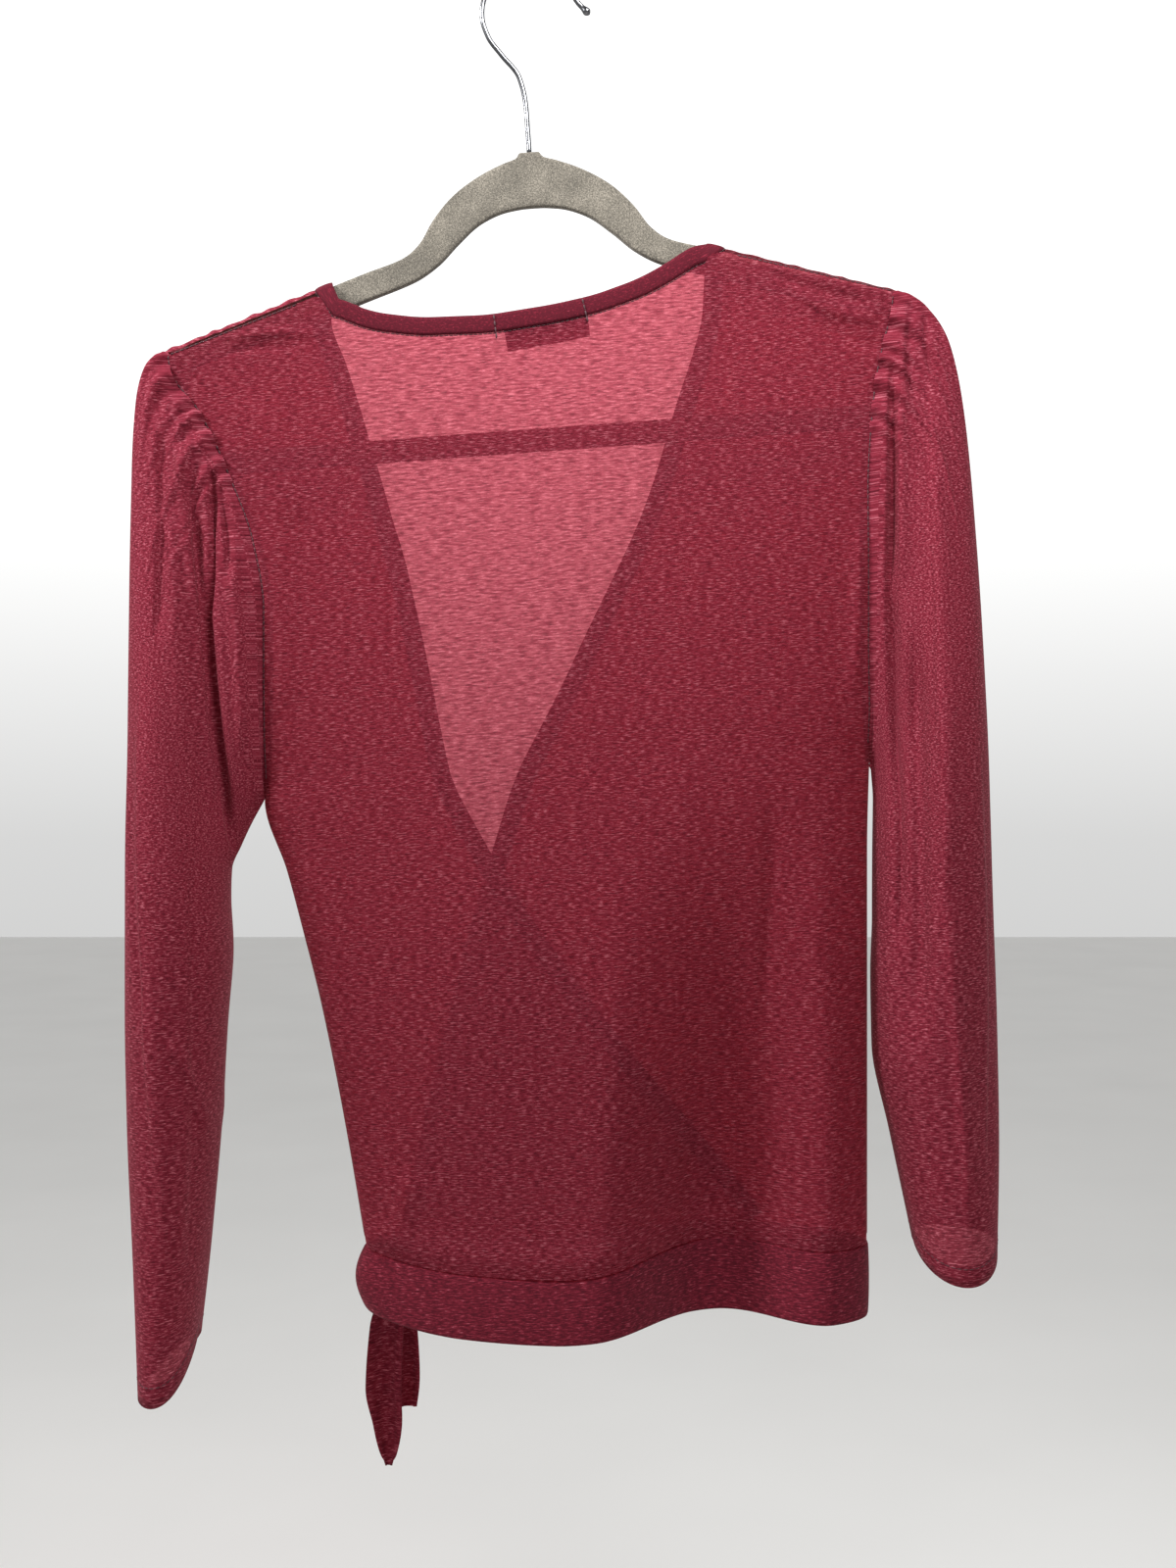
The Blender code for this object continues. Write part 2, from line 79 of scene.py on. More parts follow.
def setWorld():
    # A pale wall in front of the camera, and a softly lit room behind it.
    world = bpy.data.worlds.new("studio")
    world.use_nodes = True
    tree = world.node_tree
    direction = addNode(tree, "TexCoord")
    height = addNode(tree, "SeparateXYZ", links={"Vector": direction.outputs["Generated"]})
    low, high = studio["surround"][0][0], studio["surround"][-1][0]
    scaled = addNode(tree, "MapRange", values={"From Min": low, "From Max": high},
                     links={"Value": height.outputs["Z"]})
    shades = addNode(tree, "ValToRGB", links={"Fac": scaled.outputs["Result"]})
    ramp = shades.color_ramp
    while len(ramp.elements) < len(studio["surround"]):
        ramp.elements.new(0.5)
    for element, (at, share) in zip(ramp.elements, studio["surround"]):
        element.position = (at - low) / (high - low)
        element.color = (share, share, share * 0.995, 1)
    background = tree.nodes["Background"]
    tree.links.new(shades.outputs["Color"], background.inputs["Color"])
    behind = addNode(tree, "MapRange", values={"From Min": -0.05, "From Max": -0.4},
                     links={"Value": height.outputs["Y"]})
    sideways = addNode(tree, "MapRange", links={"Value": height.outputs["X"]}, values={
        "From Min": -0.9, "From Max": 0.7,
        "To Min": studio["leftShare"], "To Max": studio["rightShare"]})
    share = addNode(tree, "Mix", {"data_type": "FLOAT"}, {2: 1.0},
                    {0: behind.outputs["Result"], 3: sideways.outputs["Result"]})
    strength = addNode(tree, "Math", {"operation": "MULTIPLY"}, {1: studio["surroundStrength"]},
                       {0: share.outputs[0]})
    tree.links.new(strength.outputs["Value"], background.inputs["Strength"])
    bpy.context.scene.world = world
    bpy.context.scene.view_settings.view_transform = "Standard"


def setLights():
    for name, (place, aim, size, watts) in studio["lights"].items():
        lamp = bpy.data.lights.new(name, "AREA")
        lamp.size = size
        lamp.energy = watts
        holder = bpy.data.objects.new(name, lamp)
        holder.location = place
        holder.rotation_mode = "QUATERNION"
        holder.rotation_quaternion = (Vector(aim) - Vector(place)).to_track_quat("-Z", "Y")
        holder.visible_camera = False
        bpy.context.collection.objects.link(holder)


def makeFloor():
    bm = bmesh.new()
    bmesh.ops.create_grid(bm, x_segments=1, y_segments=1, size=studio["floorSize"] / 2)
    bmesh.ops.translate(bm, verts=bm.verts, vec=(0, 0, studio["floorHeight"]))
    floor = meshObject("studioFloor", bm, paleFloor())


# Materials.

def hexColor(text):
    # An sRGB hex value as linear light.
    parts = [int(text[i:i + 2], 16) / 255 for i in (1, 3, 5)]
    return [p / 12.92 if p <= 0.04045 else ((p + 0.055) / 1.055) ** 2.4 for p in parts] + [1.0]


def newMaterial(name):
    material = bpy.data.materials.new(name)
    material.use_nodes = True
    return material, material.node_tree, material.node_tree.nodes["Principled BSDF"]


def setInputs(tree, node, values, links):
    for key, value in values.items():
        node.inputs[key].default_value = value
    for key, source in links.items():
        tree.links.new(source, node.inputs[key])


def addNode(tree, kind, settings=None, values=None, links=None):
    node = tree.nodes.new("ShaderNode" + kind)
    for key, value in (settings or {}).items():
        setattr(node, key, value)
    setInputs(tree, node, values or {}, links or {})
    return node


def addNoise(tree, source, scale, detail=2.0, roughness=0.5):
    return addNode(tree, "TexNoise", links={"Vector": source}, values={
        "Scale": scale, "Detail": detail, "Roughness": roughness}).outputs["Fac"]


def addShades(tree, source, stops):
    # A colour ramp; stops are position and hex colour, in order.
    node = addNode(tree, "ValToRGB", links={"Fac": source})
    elements = node.color_ramp.elements
    while len(elements) < len(stops):
        elements.new(0.5)
    for element, (position, color) in zip(elements, stops):
        element.position = position
        element.color = hexColor(color)
    return node.outputs["Color"]


def clothMap(tree, uv, *sizes):
    # The piece's own UV, counted in threads of these sizes in millimetres.
    scale = [1 / (size * mm) for size in sizes] + [1]
    return addNode(tree, "Mapping", values={"Scale": scale},
                   links={"Vector": uv}).outputs["Vector"]


jersey = {
    "shades": ((0.38, "#48101c"), (0.47, "#641826"), (0.54, "#7a2636"), (0.64, "#ae616d")),
    "streakLong": 3.6, "streakTall": 0.62,    # a slub's length and height
    "patchLong": 6.5, "patchTall": 1.1,       # thinner and thicker places in the yarn
    "patchShare": 0.25,                       # how much the patches change the shade
    "wale": 0.9, "waleShare": 0.35,           # knitted ribs, coarser than real so that they show
    "reliefStrength": 0.12, "relief": 0.3,
    "roughness": 0.9, "specular": 0.1,
    "sheen": 0.08, "sheenRoughness": 0.45, "sheenTint": "#e0a0a8",
    "seeThrough": (0.93, 0.23, 0.28, 1.0),    # what a ray keeps between the fibres
    "opennessSwing": 0.55,                    # how far the openness of the knit varies
    "glow": "#d05566",                        # light that the fibres pass on from behind
}
# name: openness, share of light passed on, how far the shades move towards the dark ones (painted
# shade on the folded and bound cloth)
jerseyKinds = {
    "sheerHeatheredJersey": (0.27, 0.18, 0.0),
    "heatheredJersey": (0.09, 0.12, 0.0),
    "foldedHeatheredJerseyPaintedShade": (0.02, 0.02, 0.06),
    "boundHeatheredJerseyPaintedShade": (0.02, 0.02, 0.13),
}


def heatheredJersey(name):
    # Heathered rayon jersey, dyed burgundy and spun with pale fibres: matt, streaked
    # across the width, slightly sheer where one layer hangs alone.
    openness, glowShare, deeper = jerseyKinds[name]
    material, tree, shader = newMaterial(name)
    uv = addNode(tree, "UVMap", {"uv_map": "cloth"}).outputs["UV"]
    streaks = addNoise(tree, clothMap(tree, uv, jersey["streakLong"], jersey["streakTall"]),
                       1.0, 3.0, 0.65)
    patches = addNoise(tree, clothMap(tree, uv, jersey["patchLong"], jersey["patchTall"]), 1.0)
    shade = addNode(tree, "Mix", {"data_type": "FLOAT"}, {0: jersey["patchShare"]},
                    {2: streaks, 3: patches})
    # moving the shades towards the dark ones paints shade into the colour of the folded and bound
    # cloth
    color = addShades(tree, shade.outputs[0], [(at + deeper, c) for at, c in jersey["shades"]])
    waleMap = addNode(tree, "Mapping", values={"Scale": (1 / (jersey["wale"] * mm), 0, 0)},
                      links={"Vector": uv})
    wales = addNode(tree, "TexWave", {"wave_profile": "SIN"}, {"Scale": 0.5, "Distortion": 0.0},
                    {"Vector": waleMap.outputs["Vector"]})
    relief = addNode(tree, "Mix", {"data_type": "FLOAT"}, {0: jersey["waleShare"]},
                     {2: streaks, 3: wales.outputs["Fac"]})
    bump = addNode(tree, "Bump", values={"Strength": jersey["reliefStrength"],
                                         "Distance": jersey["relief"] * mm},
                   links={"Height": relief.outputs[0]}).outputs["Normal"]
    setInputs(tree, shader, {
        "Roughness": jersey["roughness"], "Specular IOR Level": jersey["specular"],
        "Sheen Weight": jersey["sheen"], "Sheen Roughness": jersey["sheenRoughness"],
        "Sheen Tint": hexColor(jersey["sheenTint"])}, {"Base Color": color, "Normal": bump})
    clear = addNode(tree, "BsdfTransparent", values={"Color": jersey["seeThrough"]})
    swing = jersey["opennessSwing"]
    thin = addNode(tree, "MapRange", links={"Value": patches}, values={
        "From Min": 0.36, "From Max": 0.64,
        "To Min": openness * (1 - swing), "To Max": openness * (1 + swing)})
    lit = addNode(tree, "Mix", {"data_type": "RGBA"}, {0: 0.5, 7: hexColor(jersey["glow"])},
                  {6: color})
    passed = addNode(tree, "BsdfTranslucent", links={"Color": lit.outputs[2], "Normal": bump})
    knit = addNode(tree, "MixShader", values={0: glowShare},
                   links={1: shader.outputs["BSDF"], 2: passed.outputs["BSDF"]})
    mixed = addNode(tree, "MixShader", links={
        0: thin.outputs["Result"], 1: knit.outputs["Shader"], 2: clear.outputs["BSDF"]})
    tree.links.new(mixed.outputs["Shader"], tree.nodes["Material Output"].inputs["Surface"])
    return material


def wovenLabel():
    # Plain woven polyester tape: smoother and a touch shinier than the knit.
    material, tree, shader = newMaterial("wovenPolyesterLabel")
    uv = addNode(tree, "UVMap", {"uv_map": "cloth"}).outputs["UV"]
    grain = addNoise(tree, clothMap(tree, uv, 0.5, 0.5), 1.0)
    color = addShades(tree, grain, ((0.3, "#42141e"), (0.7, "#5c2230")))
    setInputs(tree, shader, {"Roughness": 0.7}, {"Base Color": color})
    return material


def sewingThread():
    # Spun polyester thread, dyed to match but a shade darker than the heather.
    material, tree, shader = newMaterial("spunPolyesterThread")
    grain = addNoise(tree, addNode(tree, "TexCoord").outputs["Object"], 2500.0)
    color = addShades(tree, grain, ((0.3, "#260810"), (0.7, "#46121e")))
    setInputs(tree, shader, {"Roughness": 0.6}, {"Base Color": color})
    return material


def flockedVelvet():
    # Short nylon flock glued on moulded plastic: soft grey-brown with a pale rim where
    # the fibres are seen from the side, and faint brushed patches.
    material, tree, shader = newMaterial("nylonFlock")
    spot = addNode(tree, "TexCoord").outputs["Object"]
    nap = addNoise(tree, spot, 1400.0, 3.0, 0.7)
    brushed = addNoise(tree, spot, 60.0)
    shade = addNode(tree, "Mix", {"data_type": "FLOAT"}, {0: 0.2}, {2: nap, 3: brushed})
    color = addShades(tree, shade.outputs[0],
                      ((0.36, "#3f3b35"), (0.5, "#5d584f"), (0.64, "#857e73")))
    bump = addNode(tree, "Bump", values={"Strength": 0.5, "Distance": 0.0004},
                   links={"Height": nap})
    setInputs(tree, shader, {
        "Roughness": 0.95, "Sheen Weight": 0.25, "Sheen Roughness": 0.4,
        "Sheen Tint": hexColor("#e6dfd8")},
        {"Base Color": color, "Normal": bump.outputs["Normal"]})
    return material


def chromeWire():
    # Bright chrome plate on drawn steel wire, with faint drawing lines.
    material, tree, shader = newMaterial("chromePlatedSteel")
    wear = addNoise(tree, addNode(tree, "TexCoord").outputs["Object"], 900.0)
    rough = addNode(tree, "MapRange", values={"To Min": 0.12, "To Max": 0.3},
                    links={"Value": wear})
    setInputs(tree, shader, {"Base Color": hexColor("#6c6d70"), "Metallic": 1.0},
              {"Roughness": rough.outputs["Result"]})
    return material


def paleFloor():
    # Painted studio floor, matt.
    material, tree, shader = newMaterial("mattFloorPaint")
    mottle = addNoise(tree, addNode(tree, "TexCoord").outputs["Object"], 3.0)
    color = addShades(tree, mottle, ((0.2, "#f2f1ef"), (0.8, studio["floorColor"])))
    setInputs(tree, shader, {"Roughness": 0.9}, {"Base Color": color})
    return material


# Helpers for shapes.

def meshObject(name, bm, material):
    mesh = bpy.data.meshes.new(name)
    bm.to_mesh(mesh)
    bm.free()
    mesh.shade_smooth()
    mesh.materials.append(material)
    made = bpy.data.objects.new(name, mesh)
    bpy.context.collection.objects.link(made)
    return made


grainTilt = 0.07   # the knit's rows rise a little to the right


def mix(a, b, f):
    return a + (b - a) * f


def ease(f):
    f = np.clip(f, 0.0, 1.0)
    return f * f * (3 - 2 * f)


def unit(vectors):
    return vectors / np.linalg.norm(vectors, axis=1)[:, None]


def smooth(table, at, column=1):
    # A curve through one column of a table that never overshoots its values.
    rows = sorted((row[0], row[column]) for row in table)
    keys, values = np.array(rows, float).T
    rise = np.diff(values) / np.diff(keys)
    inner = np.zeros(len(keys))
    product = rise[:-1] * rise[1:]
    total = np.where(product > 0, rise[:-1] + rise[1:], 1.0)
    inner[1:-1] = np.where(product > 0, 2 * product / total, 0.0)
    inner[0], inner[-1] = rise[0], rise[-1]
    at = np.clip(at, keys[0], keys[-1])
    i = np.clip(np.searchsorted(keys, at) - 1, 0, len(keys) - 2)
    step = keys[i + 1] - keys[i]
    f = (at - keys[i]) / step
    return ((1 + 2 * f) * (1 - f) ** 2 * values[i] + f * (1 - f) ** 2 * step * inner[i]
            + f * f * (3 - 2 * f) * values[i + 1] + f * f * (f - 1) * step * inner[i + 1])


def formGrid(name, columns, rows, place, material, turned=False, ring=False, strip=None):
    # A grid laid on a form: place(across, down) gives millimetres for 0 to 1 each way, and
    # a ring closes on itself. The knit's rows run level, or along the piece on a strip.
    bm = bmesh.new()
    bmesh.ops.create_grid(bm, x_segments=columns, y_segments=rows, size=0.5)
    bm.loops.layers.uv.new("cloth")
    if turned:
        bmesh.ops.reverse_faces(bm, faces=bm.faces)
    made = meshObject(name, bm, material)
    mesh = made.data
    flat = np.empty(len(mesh.vertices) * 3)
    mesh.vertices.foreach_get("co", flat)
    grid = flat.reshape(-1, 3)[:, :2] + 0.5
    points = place(grid[:, 0], grid[:, 1])
    mesh.vertices.foreach_set("co", (points * mm).ravel())
    if strip:
        grain = grid * strip
    else:
        around = wayRound(grid, points, columns, rows) if ring else points[:, 0]
        grain = np.stack([around, points[:, 0] * grainTilt - points[:, 2]], -1)
    corners = np.empty(len(mesh.loops), int)
    mesh.loops.foreach_get("vertex_index", corners)
    mesh.uv_layers["cloth"].data.foreach_set("uv", (grain[corners] * mm).ravel())
    mesh.update()
    if ring:
        closeRing(made)
    return made


def wayRound(grid, points, columns, rows):
    # Each point's way round its ring in millimetres, from the middle column.
    column, row = np.rint(grid * (columns, rows)).astype(int).T
    ring = np.zeros((rows + 1, columns + 1, 3))
    ring[row, column] = points
    way = np.zeros((rows + 1, columns + 1))
    way[:, 1:] = np.cumsum(np.linalg.norm(np.diff(ring, axis=1), axis=2), axis=1)
    return (way - way[:, columns // 2][:, None])[row, column]


def closeRing(made):
    bm = bmesh.new()
    bm.from_mesh(made.data)
    bmesh.ops.remove_doubles(bm, verts=bm.verts, dist=0.01 * mm)
    bm.to_mesh(made.data)
    bm.free()
    made.data.shade_smooth()


def thicken(piece, thick):
    solid = piece.modifiers.new("thickness", "SOLIDIFY")
    solid.thickness = thick * mm
    solid.offset = -1


def creaseHeight(x, z, creases, steep=0.6):
    # Height of listed folds at a point seen from behind. A row is: first point,
    # last point, how far the middle bows sideways, half width, height (- is a trough).
    # The side towards -X of a line that runs down is the steeper one.
    total = np.zeros_like(x)
    for x0, z0, x1, z1, bow, width, height in creases:
        along = np.array([x1 - x0, z1 - z0], float)
        length = np.hypot(*along)
        along /= length
        t = ((x - x0) * along[0] + (z - z0) * along[1]) / length
        side = (z - z0) * along[0] - (x - x0) * along[1]
        side = side - bow * 4 * np.clip(t, 0, 1) * (1 - np.clip(t, 0, 1))
        ends = ease(t / 0.25 + 0.3) * ease((1 - t) / 0.25 + 0.3)
        wide = np.where(side > 0, width, width * steep)
        total += height * ends * np.exp(-(side / wide) ** 2)
    return total


def onSurface(place, across, down, lift):
    # A line on a turned sheet, raised off its outer side.
    step = 0.002
    side = place(across + step, down) - place(across - step, down)
    ahead = place(across, down + step) - place(across, down - step)
    return place(across, down) + unit(np.cross(ahead, side)) * lift


# piece: from stitch to stitch, thickness of the thread
stitchLook = {
    "armholeStitchesLeft": (2.8, 0.7), "armholeStitchesRight": (2.8, 0.7),
    "shoulderStitchesLeft": (2.8, 0.7), "shoulderStitchesRight": (2.8, 0.7),
    "sleeveLeftCuffStitches": (3.2, 0.6), "sleeveRightCuffStitches": (3.2, 0.6),
    "bindingStitches": (2.6, 0.6), "labelStitchLeft": (3.0, 1.1), "labelStitchRight": (3.0, 1.1),
}
stitchSides, stitchRings = 6, 6  # faces round the thread and along each stitch


def stitchRow(name, line, thread):
    # A row of stitches: one thread pinched between them, along a line of close points.
    step, thick = stitchLook[name]
    way = np.concatenate([[0], np.cumsum(np.linalg.norm(np.diff(line, axis=0), axis=1))])
    count = max(int(round(way[-1] / step)), 1)

    def follow(at):
        return np.stack([np.interp(at * way[-1], way, line[:, i]) for i in range(3)], -1)

    def place(across, along):
        ahead = follow(along + 0.5 / count) - follow(along - 0.5 / count)
        side = unit(np.cross(ahead, (0.3, 1.0, 0.2)))
        lift = unit(np.cross(side, ahead))
        beat = np.abs(np.sin(math.pi * np.clip(along * count, 0, count)))
        size = (thick / 2 * beat ** 0.4)[:, None]
        turn = 2 * math.pi * across[:, None]
        return follow(along) + side * size * np.cos(turn) + lift * size * np.sin(turn)

    made = formGrid(name, stitchSides, count * stitchRings, place, thread, turned=True, ring=True)
    return finishPiece(made, "heathered_knit")


# The hanger's line and the garment's form, as in the part.

hanger = {
    "bossTop": -98.9, "tilt": math.radians(4.2), "armSlope": math.radians(17.8),
    "seatGap": 1.0, "wall": 1.0,
}
cut = {
    "ridgeRadius": 5.6, "tipLeft": -196.0, "tipRight": 198.0, "neckLeft": -113.0, "neckRight": 104.0,
    "underarm": 0.5, "bandDeep": 35.0, "bindingWide": 8.5, "wrapLift": 2.4,
    "shoulderGathers": 8, "gatherHigh": 1.4,
}
leftEdge = (  # z, x
    (-190, -196), (-216, -194), (-241, -177), (-272, -162), (-309, -148), (-346, -142), (-395, -142),
    (-446, -142), (-484, -130), (-510, -123), (-558, -111), (-624, -98), (-695, -86))
rightEdge = (  # z, x
    (-160, 198), (-184, 196), (-204, 191), (-229, 186), (-281, 182), (-359, 182), (-403, 183),
    (-474, 181.5), (-695, 181.5))
bodyDepth = (  # down, back, front, armhole half opening
    (0.00, 5.6, 5.6, 5.6), (0.05, 7, 7, 6.4), (0.10, 9, 10, 8.0), (0.20, 15, 16, 11.5),
    (0.35, 22, 26, 12.5), (0.44, 26, 31, 10.0), (0.48, 28, 33, 5.0), (0.50, 28.5, 33.5, 0.5),
    (0.70, 36, 40, 0.5), (1.00, 45, 44, 0.5))
backTop = (  # x, way down from the ridge
    (-196, 7), (-113, 8), (-104, 22), (-91, 30), (-66, 36), (-27, 39), (11, 37.5), (36, 35),
    (62, 29), (81, 21), (104, 6), (198, 4))
waist = ((-95, -682), (-30, -690), (15, -691), (75, -684), (130, -681), (185, -682))  # x, z
wrapLeft = (  # way down, share of the width
    (0.0, 0.211), (0.1, 0.19), (0.2, 0.187), (0.4, 0.237), (0.577, 0.30), (0.8, 0.5), (1.0, 0.78))
wrapRight = ((0.0, 0.761), (0.06, 0.762), (0.206, 0.698), (0.416, 0.533), (0.512, 0.447), (0.6, 0.37),
             (0.8, 0.22), (1.0, 0.09))
hemWave = {"lowX": 98, "topX": 122, "start": 0.52, "half": 64, "depth": 48}


def onHanger(x, z):
    return (x * math.cos(hanger["tilt"]) - z * math.sin(hanger["tilt"]),
            hanger["bossTop"] + x * math.sin(hanger["tilt"]) + z * math.cos(hanger["tilt"]))


def armTop(x):
    return -65.3 - (abs(x) - 114.0) * math.tan(hanger["armSlope"])


def ridge(x):
    lift = hanger["seatGap"] + hanger["wall"]
    stops = [onHanger(at, armTop(at) + lift) for at in (-200.0, -112.0, 88.0, 195.0)]
    xs, zs = np.array(stops).T
    first, last = (zs[1] - zs[0]) / (xs[1] - xs[0]), (zs[3] - zs[2]) / (xs[3] - xs[2])
    inside = np.interp(x, xs, zs)
    return np.where(x < xs[0], zs[0] + (x - xs[0]) * first,
                    np.where(x > xs[3], zs[3] + (x - xs[3]) * last, inside))


def fall(way):
    radius = cut["ridgeRadius"]
    turn = np.clip(way / radius, -math.pi / 2, math.pi / 2)
    return radius * (1 - np.cos(turn)) + np.maximum(np.abs(way) - radius * math.pi / 2, 0), turn


def fullWay(part):
    top = mix(cut["tipLeft"], cut["tipRight"], part)
    low = mix(leftEdge[-1][1], rightEdge[-1][1], part)
    return ridge(top) - smooth(waist, low) + (math.pi / 2 - 1) * cut["ridgeRadius"]


def bodyForm(face, part, way):
    # The body's outer surface and its outward direction, face -1 the back, 1 the front.
    part, way = np.broadcast_arrays(np.asarray(part, float), np.asarray(way, float))
    down = way / fullWay(part)
    leftZ = ridge(cut["tipLeft"]) - fall(down * fullWay(0.0))[0]
    rightZ = ridge(cut["tipRight"]) - fall(down * fullWay(1.0))[0]
    left, right = smooth(leftEdge, leftZ), smooth(rightEdge, rightZ)
    drop, turn = fall(way)
    s = 2 * part - 1
    deep = smooth(bodyDepth, np.abs(down), 1 if face < 0 else 2)
    edge = np.minimum(smooth(bodyDepth, np.abs(down), 3), deep)
    lens = np.sqrt(np.maximum(1 - s * s * (1 - (edge / deep) ** 2), 0.0))
    x = mix(left, right, part)
    y = face * deep * lens * np.sin(turn)
    topX = mix(cut["tipLeft"], cut["tipRight"], part)
    z = ridge(topX) - drop
    if face < 0:
        grow = ease((down - hemWave["start"]) / (1 - hemWave["start"]))
        off = np.abs(x - mix(hemWave["topX"], hemWave["lowX"], down)) / hemWave["half"]
        wave = hemWave["depth"] * grow * (0.5 + 0.5 * np.cos(math.pi * np.minimum(off, 1.0)))
        y = y + np.where(down > 0, wave * np.minimum(lens * 1.6, 1.0), 0.0)
    slope = (ridge(topX + 1) - ridge(topX - 1)) / 2
    over = np.stack([-slope * np.cos(turn), face * np.sin(turn), np.cos(turn)], -1)
    flat = np.stack([s * deep, face * lens * (right - left) / 2, np.zeros_like(s)], -1)
    out = np.where((np.abs(turn) < 1.5)[:, None], over, flat)
    return np.stack([x, y, z], -1), unit(out)


def ripple(x, z, size, seed):
    # Slow unevenness of hanging cloth, the same on every run.
    return size * (np.sin(x / 31.0 + seed) * np.sin(z / 57.0 + 2.1 * seed)
                   + 0.6 * np.sin(x / 17.0 - z / 83.0 + 3.7 * seed)
                   + 0.3 * np.sin(x / 9.0 + z / 140.0 + seed * 1.3))


# Back.

backLook = {
    "columns": 170, "rows": 240, "rowPower": 1.5, "flat": (0.395, 0.535), "area": 0.172,
    "blouse": 1.6, "groove": 0.6,   # swell above the waist seam, dip along both sides
    "stitchLift": 0.15, "armholeStops": 400, "shoulderStops": 160,
    "creases": (
        # x, z, x, z, bow, half width, height
        (128, -445, 123, -682, 0, 7, -2.6),
        (150, -470, 150, -682, 0, 12, 2.2),
        (74, -617, 78, -682, 0, 7, 2.0),
        (-60, -640, -74, -684, 0, 9, 2.2),
        (176, -300, 172, -390, 0, 6, 1.8),
        (-175, -201, -112, -198, 2, 3.0, 1.5),
        (-160, -208, -125, -206, 2, 3.0, -1.3),
        (-145, -187, -124, -187, 0, 2.5, 1.3),
        (126, -162, 182, -180, -3, 4.5, -1.7),
        (142, -176, 186, -190, -3, 5.0, 1.8),
        (155, -190, 190, -205, -3, 5.0, -1.3),
        (-150, -235, -128, -300, 6, 10, 1.6),
        (-140, -300, -132, -400, 5, 10, 1.8),
        (-118, -470, -100, -600, 5, 12, 1.6),
    ),
}


def backEdgeWay(part):
    # How far below the ridge the back panel starts, at the neck and along the shoulders.
    x = mix(cut["tipLeft"], cut["tipRight"], part)
    return np.interp(x, [row[0] for row in backTop], [row[1] for row in backTop])


def spread(f):
    # Columns closer together towards both sides.
    return 0.5 + 0.5 * np.sin(math.pi * (f - 0.5))


def makeBack(cloth, thread):
    def place(across, down):
        part = spread(across)
        row = down ** backLook["rowPower"]
        way = mix(backEdgeWay(part), fullWay(part), row)
        point, out = bodyForm(-1, part, way)
        x, z = point[:, 0], point[:, 2]
        free = ease((way - backEdgeWay(part)) / 10) * ease((1 - down) / 0.02 + 0.1)
        rim = ease(part / 0.02) * ease((1 - part) / 0.02)
        height = creaseHeight(x, z, backLook["creases"]) + ripple(x, z, 0.5, 0.7)
        blouse = backLook["blouse"] * np.exp(-((1 - row) * 520 - 9) ** 2 / 60)
        groove = backLook["groove"] * (1 - ease(np.minimum(part, 1 - part) / 0.012))
        return point + out * ((height * free + blouse) * rim - groove)[:, None]

    back = formGrid("backPanel", backLook["columns"], backLook["rows"], place, cloth,
                    turned=True)
    finishPiece(back, "heathered_knit", "back")
    # the armholes down to the underarm, and the shoulder seams from tip to neck
    count, stops = backLook["armholeStops"], backLook["shoulderStops"]
    down, shoulder = np.linspace(0.004, 0.61, count), np.full(stops, 0.01)
    lines = {
        "armholeStitchesLeft": (np.full(count, 0.05), down),
        "armholeStitchesRight": (np.full(count, 0.95), down),
        "shoulderStitchesLeft": (np.linspace(0.06, 0.28, stops), shoulder),
        "shoulderStitchesRight": (np.linspace(0.69, 0.94, stops), shoulder),
    }
    for name, (across, way) in lines.items():
        stitchRow(name, onSurface(place, across, way, backLook["stitchLift"]), thread)


def finishPiece(piece, slotName, *nodes):
    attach(piece, "root")
    if nodes:
        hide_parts(*nodes)
    return piece


# Wrap fronts.

frontLook = {
    "columns": 150, "rows": 220, "rowPower": 1.5,
    "underBand": 3.0, "bandInset": 1.3,          # the lowest rows run behind the waistband
    "innerStart": -6.0, "outerStart": -3.0,      # rolled to the back over the shoulder
    "leftFlat": (0.225, 0.540), "leftArea": 0.068, "rightFlat": (0.310, 0.545), "rightArea": 0.104,
    "leftCreases": (
        (-150, -230, -120, -330, 6, 9, 1.8), (-100, -420, -60, -600, 8, 14, 2.4),
        (-70, -480, 30, -676, 10, 13, 2.0)),
    "rightCreases": (
        (150, -210, 128, -330, -6, 9, 1.8), (130, -380, 40, -640, -12, 16, 2.6),
        (150, -480, 90, -680, -8, 12, 2.2), (40, -470, -52, -668, -8, 12, 2.6),
        (80, -520, -40, -680, -8, 9, -1.6)),
}


def gatherWave(across, way, start):
    # Shoulder gathers, high at the seam and fading down the front, no two quite alike.
    fade = (1 - ease((way - start) / 75)) * (0.35 + 0.65 * ease((way - start) / 8))
    uneven = 0.7 + 0.25 * np.sin(across * 23.0 + 1.0)
    phase = 2 * math.pi * (cut["shoulderGathers"] * across + 0.12 * np.sin(across * 19.0))
    return cut["gatherHigh"] * uneven * fade * (0.5 - 0.5 * np.cos(phase))


